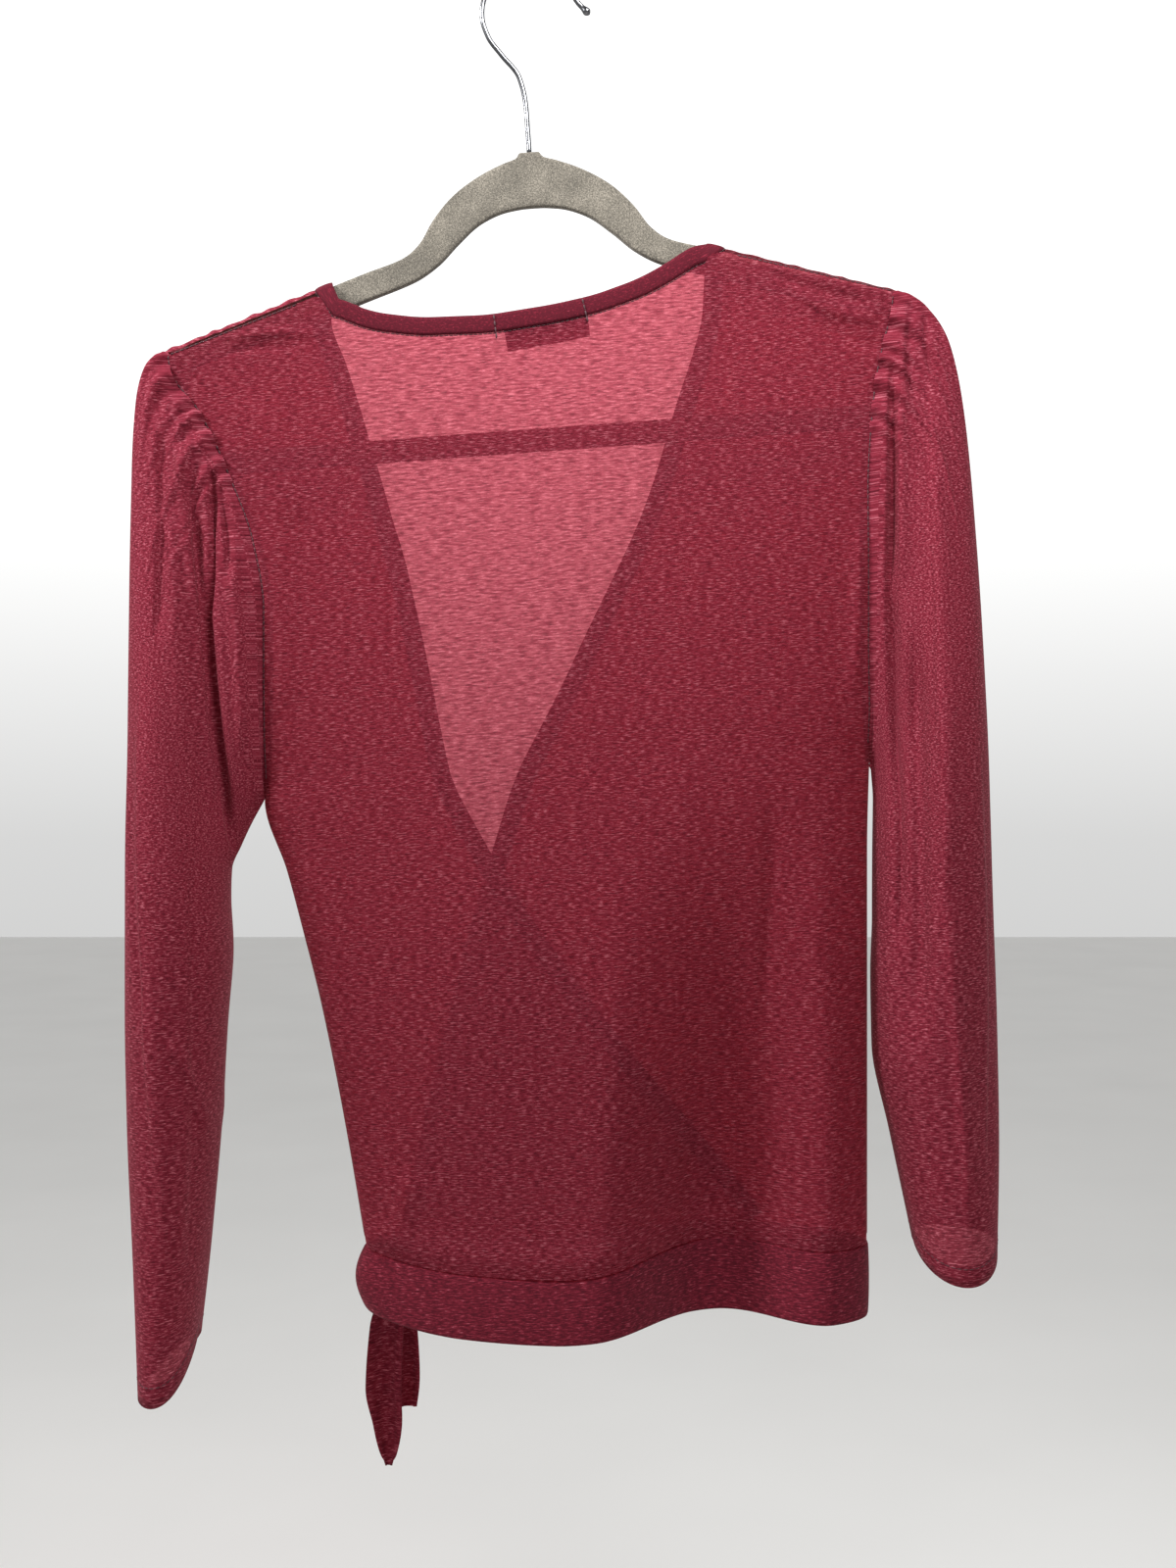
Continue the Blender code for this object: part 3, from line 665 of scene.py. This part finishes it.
def makeFront(name, node, table, ownEdge, start, flip, creases, cloth):
    def place(across, down):
        row = down ** frontLook["rowPower"]
        close = mix(across, 0.5 - 0.5 * np.cos(math.pi * across), ease(row / 0.45))
        part = mix(ownEdge, smooth(table, row), close)
        way = mix(start, fullWay(part) + frontLook["underBand"], row)
        point, out = bodyForm(1, part, way)
        inset = frontLook["bandInset"] * ease((way - fullWay(part) + 4) / 5)
        lift = gatherWave(across, way, start) - inset
        if ownEdge == 1.0:
            lift = lift + cut["wrapLift"] * ease(row / 0.2) * ease((1 - part) / 0.16)
        x, z = point[:, 0], point[:, 2]
        rim = (ease(across / 0.04) * ease((1 - across) / 0.05) * ease((1 - row) / 0.03)
               * ease((way - 12) / 30))
        height = (creaseHeight(x, z, creases) + ripple(x, z, 0.35, 1.9 + ownEdge)) * rim
        # the outer front stays clear of the inner one
        clear = np.maximum(height, -0.6) if ownEdge == 1.0 else np.minimum(height, 1.2)
        return point + out * (lift + clear)[:, None]

    front = formGrid(name, frontLook["columns"], frontLook["rows"], place, cloth, turned=flip)
    return finishPiece(front, "heathered_knit", node)


def makeFronts(cloth):
    look = frontLook
    makeFront("frontInner", "front_left", wrapLeft, 0.0, look["innerStart"], False,
              look["leftCreases"], cloth)
    makeFront("frontOuter", "front_right", wrapRight, 1.0, look["outerStart"], True,
              look["rightCreases"], cloth)


# Sleeves.

sleeveLook = {
    "columns": 400, "rows": 180, "power": 1.25,  # rows are closer at the head
    "reach": 0.34,                               # how far down the armhole's shape is felt
    "headReach": 0.33, "gathers": 7, "gatherHigh": 3.6,
    "length": 540.0, "hemDeep": 9.0, "hemRows": 0.05, "stitchRow": 0.939,
    "tuckRows": 0.02, "tuckWide": 3.0, "tuckDeep": 0.8,
    "puff": 1.3, "hemThin": 0.9, "backFolds": 1.5, "frontFolds": 0.7, "foldSteep": 0.35,
    "leftFlat": (0.275, 0.570), "leftArea": 0.115,
    "rightFlat": (0.275, 0.545), "rightArea": 0.108,
}
leftSleeve = (  # along, out x, out z, in x, in z, half depth, drop
    (0.00, -196, -206, -141, -446, 10, 0), (0.05, -204, -214, -143, -450, 13, 0),
    (0.12, -209, -232, -148, -459, 18, 0), (0.22, -212, -268, -154, -471, 25, 0),
    (0.34, -213, -330, -160, -484, 34, 0), (0.46, -213, -405, -161, -503, 42, 0),
    (0.58, -214, -480, -160, -528, 46, 0), (0.70, -214, -556, -163, -568, 45, 0),
    (0.80, -213, -618, -166, -620, 43, 0), (0.90, -210, -688, -171, -676, 41, 6),
    (1.00, -207, -760, -178, -735, 38, 14))
rightSleeve = (  # the same columns
    (0.00, 198, -173, 183, -427, 10, 0), (0.05, 211, -181, 185, -431, 13, 0),
    (0.12, 224, -200, 185, -437, 18, 0), (0.22, 233, -240, 185, -446, 25, 0),
    (0.34, 239, -305, 185, -460, 33, 0), (0.46, 243, -372, 185, -482, 40, 0),
    (0.58, 246, -440, 185, -510, 43, 0), (0.70, 248, -505, 184, -541, 43, 0),
    (0.80, 250, -565, 184.5, -578, 41, 1), (0.90, 251, -625, 194, -625, 37, 8),
    (1.00, 250, -682, 206, -682, 33, 16))
sleeveFolds = ((-181, -262, -162, -480, 12, 9), (201, -350, 199, -590, 12, 6))  # as in the part
leftSleeveCreases = (  # x, z, x, z, bow, half width, height
    (-171, -248, -171, -352, 4, 3.0, -5.0),
    (-171, -340, -157, -475, -1, 3.0, -4.5),
    (-176, -242, -180, -268, 1, 2.0, -2.2),
    (-181, -234, -187, -258, 1, 2.0, -2.2),
    (-186, -226, -193, -242, 1, 2.0, -2.0),
    (-186, -255, -176, -352, -2, 3.5, 2.8),
    (-177, -350, -166, -450, -1, 4.0, 2.0),
    (-166, -262, -158, -330, 1, 3.0, -3.5),
    (-161, -300, -152, -420, 2, 5.0, 2.6),
    (-196, -240, -193, -360, 1, 4.5, -2.4),
    (-184, -569, -168, -622, 3, 3.5, 2.2),
    (-199, -390, -183, -680, -4, 8.0, 2.0),
    (-206, -420, -196, -560, -3, 6.0, -1.4),
    (-172, -470, -176, -700, 3, 8.0, -1.4),
)
rightSleeveCreases = (
    (193, -186, 190, -330, 0, 3.0, -5.0),
    (190, -320, 193, -520, 0, 4.0, -4.0),
    (203, -182, 203, -236, -2, 2.5, -2.6),
    (211, -186, 214, -222, -2, 2.5, -1.8),
    (214, -230, 214, -500, 0, 7.0, 2.4),
    (214, -500, 228, -660, 0, 7.0, 2.2),
    (202, -360, 201, -560, 0, 5.0, -2.5),
    (196, -230, 197, -330, 0, 4.0, 2.0),
    (238, -420, 240, -640, 3, 6.0, -1.2),
)


def sleeveForm(table, hand, around, along):
    around, along = np.broadcast_arrays(np.asarray(around, float), np.asarray(along, float))
    face = np.where(around < 0, -1.0, 1.0)
    part = (1 - np.cos(2 * math.pi * np.abs(around))) / 2
    swing = np.sin(2 * math.pi * np.abs(around))
    lean = part * 1.6 if hand < 0 else 1.0  # where the near edge of the cuff hangs lowest

    def free(at):
        outX, outZ, inX, inZ, half, drop = (smooth(table, at, i) for i in range(1, 7))
        return np.stack([mix(outX, inX, part), face * half * swing,
                         mix(outZ, inZ, part) - np.where(face < 0, drop * swing * lean, 0)], -1)

    across = 0.0 if hand < 0 else 1.0
    seamWay = part * cut["underarm"] * fullWay(across)
    seamBack = bodyForm(-1, np.full_like(part, across), seamWay)[0]
    seamFront = bodyForm(1, np.full_like(part, across), seamWay)[0]
    seam = np.where((face < 0)[:, None], seamBack, seamFront)
    hold = 1 - ease(along / sleeveLook["reach"])
    return free(along) + (seam - free(np.zeros_like(along))) * hold[:, None]


def sleeveFold(x, z):
    total = np.zeros_like(x)
    for x0, z0, x1, z1, half, depth in sleeveFolds:
        down = (z - z0) / (z1 - z0)
        off = np.abs(x - mix(x0, x1, down)) / half
        ends = ease(down * 4) * ease((1 - down) * 4)
        total += depth * ends * (0.5 + 0.5 * np.cos(math.pi * np.minimum(off, 1.0)))
    return total


def foldedForm(table, hand, around, along):
    point = sleeveForm(table, hand, around, along)
    fold = sleeveFold(point[:, 0], point[:, 2]) * ease(along / 0.1)
    point[:, 1] += np.where(around < 0, fold, 0)
    return point


def headWave(around, along):
    # Gathers of the sleeve head: deep at the seam, dying out down the arm, long and short.
    part = (1 - np.cos(2 * math.pi * np.abs(around))) / 2
    reach = part / sleeveLook["headReach"]
    length = 0.23 + 0.11 * np.sin(part * 67.0 + 0.6)
    fade = (1 - ease(along / length)) * ease((1 - reach) * 4 + 0.25) * ease(reach * 6)
    phase = 2 * math.pi * (sleeveLook["gathers"] * reach + 0.15 * np.sin(part * 41.0))
    deep = 1 + 0.35 * np.sin(part * 93.0)
    return sleeveLook["gatherHigh"] * deep * fade * (0.5 - 0.5 * np.cos(phase))


def makeSleeve(name, node, table, hand, creases, cloth, thread):
    look = sleeveLook

    def place(across, down):
        around = across - 0.5
        hemStart, tuckEnd = 1 - look["hemRows"], look["tuckRows"]
        body = np.clip((down - tuckEnd) / (hemStart - tuckEnd), 0, 1)
        turnedUp = np.clip((down - hemStart) / look["hemRows"], 0, 1)
        along = body ** look["power"] - turnedUp * look["hemDeep"] / look["length"]
        tuck = 1 - np.clip(down / tuckEnd, 0, 1)
        point = foldedForm(table, hand, around, along)
        wave = headWave(around, along)
        face = np.where(around < 0, -1.0, 1.0)
        step = 0.002
        before, after = np.clip(around - step, -0.5, 0.5), np.clip(around + step, -0.5, 0.5)
        ahead = (foldedForm(table, hand, around, along + step)
                 - foldedForm(table, hand, around, along - step))
        side = foldedForm(table, hand, after, along) - foldedForm(table, hand, before, along)
        out = np.cross(ahead, side) * hand
        out = out / np.maximum(np.linalg.norm(out, axis=1), 1e-6)[:, None]
        x, z = point[:, 0], point[:, 2]
        folds = (creaseHeight(x, z, creases, look["foldSteep"])
                 * np.where(face < 0, look["backFolds"], look["frontFolds"]))
        edge = np.maximum(np.sin(2 * math.pi * np.abs(around)), 0) ** 0.7
        height = wave + (folds + ripple(x + 40 * face, z, 0.5, 2.3 + hand)) * edge * ease(along / 0.06)
        height += look["puff"] * ease(along / 0.02) * (1 - ease(along / 0.25))
        height -= look["hemThin"] * ease(turnedUp * 8) + look["tuckDeep"] * tuck
        point[:, 0] -= hand * look["tuckWide"] * tuck
        return point + out * height[:, None]

    sleeve = formGrid(name, look["columns"], look["rows"], place, cloth,
                      turned=hand > 0, ring=True)
    finishPiece(sleeve, "heathered_knit", node)
    wayAround = np.linspace(0.004, 0.996, 300)
    cuff = onSurface(place, wayAround, np.full(300, look["stitchRow"]), -0.1 * hand)
    stitchRow(name + "CuffStitches", cuff, thread)


def makeSleeves(cloth, thread):
    makeSleeve("sleeveLeft", "sleeve_left", leftSleeve, -1, leftSleeveCreases,
               cloth, thread)
    makeSleeve("sleeveRight", "sleeve_right", rightSleeve, 1, rightSleeveCreases,
               cloth, thread)


# Binding, label, waistband and tie.

bindingLook = {
    "gap": -1.2, "thick": 1.6, "proud": 0.6, "bulge": 0.5, "samples": 60,
    "flat": (0.0105, 1.42), "strip": (1500, 9),
    "seamBelow": 0.4, "seamSunk": 0.1,
    "labelBars": {"labelStitchLeft": -17.4, "labelStitchRight": 29.4}, "labelBarLift": 0.55,
}


def stretchPoints(face, parts, ways, lifts):
    point, out = bodyForm(face, parts, ways)
    point = point + out * (lifts + bindingLook["proud"])[:, None]
    ahead = np.gradient(point, axis=0)
    side = np.cross(out, ahead)
    return point, unit(side), out


def makeBinding(cloth, thread):
    # One strip: up the inner front's edge, round the back neck and down the outer front's.
    rows = np.linspace(0, 1, bindingLook["samples"]) ** 1.8
    pieces = []
    leftPart = smooth(wrapLeft, rows)
    leftWay = mix(frontLook["innerStart"], fullWay(leftPart), rows)
    pieces.append(stretchPoints(1, leftPart[::-1], leftWay[::-1], np.zeros(len(rows))))
    first = (cut["neckLeft"] - cut["tipLeft"]) / (cut["tipRight"] - cut["tipLeft"])
    last = (cut["neckRight"] - cut["tipLeft"]) / (cut["tipRight"] - cut["tipLeft"])
    neckPart = np.linspace(first, last, 64)[2:-3]
    neckWay = backEdgeWay(neckPart)
    kernel = np.ones(5) / 5
    neckWay = np.convolve(np.pad(neckWay, 2, mode="edge"), kernel, mode="valid")
    pieces.append(stretchPoints(-1, neckPart, neckWay, np.zeros(len(neckPart))))
    rightPart = smooth(wrapRight, rows)
    rightWay = mix(frontLook["outerStart"], fullWay(rightPart), rows)
    rightLift = cut["wrapLift"] * ease(rows / 0.2) * ease((1 - rightPart) / 0.16)
    pieces.append(stretchPoints(1, rightPart, rightWay, rightLift))
    point, side, out = (np.concatenate([piece[i] for piece in pieces]) for i in range(3))
    stops = len(point) - 1

    def place(along, across):
        at = np.clip(np.rint(along * stops).astype(int), 0, stops)
        bulge = bindingLook["bulge"] * np.sin(math.pi * across) ** 0.5
        return (point[at] + side[at] * mix(bindingLook["gap"], cut["bindingWide"], across)[:, None]
                + out[at] * bulge[:, None])

    binding = formGrid("neckBinding", stops, 6, place, cloth, strip=bindingLook["strip"])
    thicken(binding, bindingLook["thick"])
    finishPiece(binding, "heathered_knit", "neck_binding")
    below = (point + side * (bindingLook["gap"] - bindingLook["seamBelow"])
             - out * (bindingLook["proud"] - bindingLook["seamSunk"]))
    stitchRow("bindingStitches", below, thread)
    for name, x in bindingLook["labelBars"].items():
        # the nearest place on the back neck
        at = int(np.argmin(np.abs(point[:, 0] - x) + (out[:, 1] > 0) * 500))
        bar = [point[at] + side[at] * up + out[at] * bindingLook["labelBarLift"]
               for up in np.linspace(-5.0, 8.0, 14)]
        stitchRow(name, np.array(bar), thread)


labelLook = {"left": -19.0, "right": 29.0, "above": 6.0, "below": 12.0, "gap": 0.6,
             "flat": (0.048, 0.018)}


def makeLabel(material):
    # It hangs just inside the back panel, under the binding.
    look = labelLook

    def place(across, down):
        x = mix(look["left"], look["right"], across)
        part = (x - cut["tipLeft"]) / (cut["tipRight"] - cut["tipLeft"])
        way = backEdgeWay(part) + mix(-look["above"], look["below"], down)
        return bodyForm(-1, part, way)[0] + np.array([0, hanger["wall"] + look["gap"], 0])

    label = formGrid("blankLabel", 40, 16, place, material, turned=True)
    return finishPiece(label, "woven_label", "neck_label")


bandLook = {
    "columns": 320, "rows": 30, "thick": 1.4, "flat": (0.62, 0.036),
    "hipBulge": 5.0,             # the ties pull the band out at the left hip
    "leftDeeper": -1.5, "rightDeeper": 3.5, "seamGap": 0.3, "roll": 0.9,
}


def bandForm(around, row):
    face = np.where(around < 1, -1.0, 1.0)
    q = np.where(face < 0, around, 2 - around)
    part = spread(q)
    back, front = (bodyForm(side, part, fullWay(part))[0] for side in (-1, 1))
    point = np.where((face < 0)[:, None], back, front)
    atEdge = (part < 1e-9) | (part > 1 - 1e-9)
    point[:, 1] = np.where(atEdge, 0.0, point[:, 1])
    look = bandLook
    bulge = look["hipBulge"] * np.sin(math.pi * row) * ease(1 - part / 0.12)
    deeper = mix(look["leftDeeper"], look["rightDeeper"], ease((part - 0.45) / 0.25))
    drop = look["seamGap"] + (cut["bandDeep"] + deeper) * row
    return point + np.stack([-bulge, np.zeros_like(row), -drop], -1)


def makeBand(cloth):
    def place(across, down):
        point = bandForm(across * 2, down)
        x, z = point[:, 0], point[:, 2]
        middle = bandForm(across * 2, np.full_like(down, 0.5)).mean(0)
        out = np.stack([x - middle[0], (point[:, 1] - middle[1]) * 9, np.zeros_like(x)], -1)
        roll = bandLook["roll"] * (np.sin(math.pi * down) ** 0.35 - 0.5)
        height = roll + ripple(x, z * 2, 0.25, 5.1)
        return point + unit(out) * height[:, None]

    band = formGrid("waistBand", bandLook["columns"], bandLook["rows"], place, cloth,
                    turned=True, ring=True)
    thicken(band, bandLook["thick"])
    return finishPiece(band, "heathered_knit", "waistband")


longTail = (  # down, x, z, half width, y, groove
    (0.0, -76, -718.5, 6, 32.5, 1.5), (0.2, -80, -738, 8.5, 29, 5), (0.5, -81.5, -771, 9, 26, 6),
    (0.75, -79, -792, 7, 25, 5), (0.92, -78.5, -807, 4, 25, 2), (1.0, -78.3, -813, 1.5, 25, 0))
shortTail = (
    (0.0, -73, -718.3, 5, 36.8, 1), (0.3, -71, -740, 6, 40, 3), (0.7, -69, -771, 5.5, 40, 3),
    (1.0, -69, -786, 4.5, 39, 1))
tieLook = {
    "knotAt": (-75.0, 33.2, -702.0), "knotRadius": 14.0, "knotHalfHigh": 16.0, "thick": 1.2,
    "lip": 0.8, "longFlat": (0.022, 0.097), "shortFlat": (0.014, 0.070),
}


def makeTail(name, node, table, cloth):
    # A folded ribbon that hangs straight down, its middle set back in a soft groove.
    def place(across, down):
        x, z, half, y, groove = (smooth(table, down, i) for i in range(1, 6))
        q = across * 2 - 1
        lip = tieLook["lip"] * np.exp(-((np.abs(q) - 0.72) / 0.14) ** 2)
        return np.stack([x + half * q, y + groove * (1 - q * q) - lip, z], -1)

    tail = formGrid(name, 24, 60, place, cloth, turned=True)
    thicken(tail, tieLook["thick"])
    return finishPiece(tail, "heathered_knit", node)


def makeKnot(cloth):
    # A flattened ball pinched at the top and bottom, wrinkled by the crossing turns.
    bm = bmesh.new()
    bmesh.ops.create_uvsphere(bm, u_segments=64, v_segments=40, radius=1.0)
    knot = meshObject("tieKnot", bm, cloth)
    count = len(knot.data.vertices)
    ball = np.empty(count * 3)
    knot.data.vertices.foreach_get("co", ball)
    ball = ball.reshape(-1, 3)
    turn = np.arctan2(ball[:, 1], ball[:, 0])
    valley = np.exp(-((ball[:, 2] + 0.3 * np.sin(turn)) / 0.12) ** 2)
    wrap = 1 + 0.07 * np.sin(5 * ball[:, 2] * 2.2 + 2 * turn) - 0.16 * valley
    radius = tieLook["knotRadius"]
    size = np.array([radius * 0.98, radius * 0.68, tieLook["knotHalfHigh"]])
    points = (ball * wrap[:, None] * size + np.array(tieLook["knotAt"])) * mm
    knot.data.vertices.foreach_set("co", points.ravel())
    corners = np.empty(len(knot.data.loops), int)
    knot.data.loops.foreach_get("vertex_index", corners)
    grain = np.stack([turn[corners] * radius * mm, -points[corners, 2]], -1)
    knot.data.uv_layers.new(name="cloth").data.foreach_set("uv", grain.ravel())
    knot.data.update()
    return finishPiece(knot, "heathered_knit", "tie_knot")


# Hanger.

hangerLook = {
    "halfWide": 204.0, "endRadius": 24.0, "barLow": -160.0, "barTall": 12.0, "armThick": 14.7,
    "thick": 5.5, "rounding": 0.3, "sides": 40, "stops": 560,
    # x, z of the outer edge and x, z of the inner edge, from the boss to where the arm starts
    "arch": ((0, 0, 0, -29.4), (5, 0, 5, -29.5), (7, -2.6, 10, -30), (14, -5, 16, -31),
             (26, -10, 28.5, -36), (42, -20, 41.5, -46.3), (54, -32.6, 52, -56),
             (62, -44.5, 64, -63.5), (71, -51.6, 75, -67.6)),
}
hookLook = {
    "wire": 2.8, "radius": 25.3, "sides": 24, "stops": 220,
    # x, z of the shank, degrees where the bend starts and ends, then x, z of the tip
    "shank": ((0, -99.6), (0, -98.6), (-0.8, -86), (-1.8, -73), (-5.5, -58), (-15, -46),
              (-22, -36.5)),
    "bend": (186, 25), "bendStops": 24, "tip": ((26.5, -18.5), (31.5, -23.5), (32.6, -24.6)),
    "ball": 0.55, "ballAt": 0.985, "ballHalf": 0.012,   # the tip swells to a small ball
}


def throughPoints(stops, at):
    # A smooth line through points, at a share of its length.
    stops = np.array(stops, float)
    way = np.concatenate([[0], np.cumsum(np.linalg.norm(np.diff(stops, axis=0), axis=1))])
    table = np.column_stack([way / way[-1], stops])
    return np.stack([smooth(table, at, i + 1) for i in range(stops.shape[1])], -1)


def hangerLoop():
    # Outer and inner edge points in pairs, from the top middle round the right end and back.
    look = hangerLook
    slope = hanger["armSlope"]
    corner = look["halfWide"] - look["endRadius"]
    pairs = list(look["arch"])
    for outer, inner in ((92, 88), (136, 134)):
        pairs.append((outer, armTop(outer), inner, armTop(inner) - look["armThick"]))
    shoulder = armTop(corner) - look["endRadius"] / math.cos(slope)
    low = look["barLow"] + look["endRadius"]
    for i in range(13):
        turn = mix(math.pi / 2 - slope, -math.pi / 2, i / 12)
        middle = shoulder if i < 6 else low
        across, up = math.cos(turn), math.sin(turn)
        outer, inner = look["endRadius"], look["endRadius"] - look["barTall"]
        pairs.append((corner + outer * across, middle + outer * up,
                      corner + inner * across, middle + inner * up))
    pairs += [(90, look["barLow"], 90, look["barLow"] + look["barTall"]),
              (0, look["barLow"], 0, look["barLow"] + look["barTall"])]
    return pairs + [(-a, b, -c, d) for a, b, c, d in reversed(pairs[:-1])]


def makeHangerBody(velvet):
    look, loop = hangerLook, hangerLoop()

    def place(across, along):
        # A rounded bar between the two edges.
        edges = throughPoints(loop, along)
        wide, deep = np.cos(2 * math.pi * across), np.sin(2 * math.pi * across)
        wide, deep = (np.sign(v) * np.abs(v) ** look["rounding"] for v in (wide, deep))
        x, z = (mix(edges[:, 2 + i], edges[:, i], 0.5 + 0.5 * wide) for i in (0, 1))
        x, z = onHanger(x, z)
        return np.stack([x, deep * look["thick"] / 2, z], -1)

    body = formGrid("hangerBody", look["sides"], look["stops"], place, velvet,
                    turned=True, ring=True)
    return finishPiece(body, "grey_velvet", "hanger_body")


def makeHangerHook(chrome):
    look = hookLook
    centre = look["wire"] / 2 - look["radius"]
    path = list(look["shank"])
    for i in range(look["bendStops"] + 1):
        turn = math.radians(mix(*look["bend"], i / look["bendStops"]))
        path.append((look["radius"] * math.cos(turn), centre + look["radius"] * math.sin(turn)))
    path += look["tip"]

    def place(across, along):
        point = throughPoints(path, along)
        ahead = unit(throughPoints(path, np.minimum(along + 0.002, 1))
                     - throughPoints(path, np.maximum(along - 0.002, 0)))
        swell = 1 + look["ball"] * np.exp(-((along - look["ballAt"]) / look["ballHalf"]) ** 2)
        end = np.sqrt(np.clip(np.minimum(along, 1 - along) / 0.008, 0, 1))
        size = look["wire"] / 2 * swell * end
        turn = 2 * math.pi * across
        return np.stack([point[:, 0] - ahead[:, 1] * size * np.cos(turn), size * np.sin(turn),
                         point[:, 1] + ahead[:, 0] * size * np.cos(turn)], -1)

    wire = formGrid("hangerHook", look["sides"], look["stops"], place, chrome,
                    turned=True, ring=True)
    return finishPiece(wire, "chrome_wire", "hanger_hook")


def build():
    setCamera()
    setWorld()
    setLights()
    makeFloor()
    sheer, single, double, bound = (heatheredJersey(name) for name in jerseyKinds)
    print("materials made")
    thread = sewingThread()
    makeBack(sheer, thread)
    makeFronts(single)
    print("body made")
    makeSleeves(single, thread)
    print("sleeves made")
    makeBinding(bound, thread)
    makeLabel(wovenLabel())
    makeBand(double)
    makeKnot(double)
    makeTail("tieTailLong", "tie_tail_long", longTail, single)
    makeTail("tieTailShort", "tie_tail_short", shortTail, single)
    print("trims made")
    makeHangerBody(flockedVelvet())
    makeHangerHook(chromeWire())
    print("hanger made")


build()
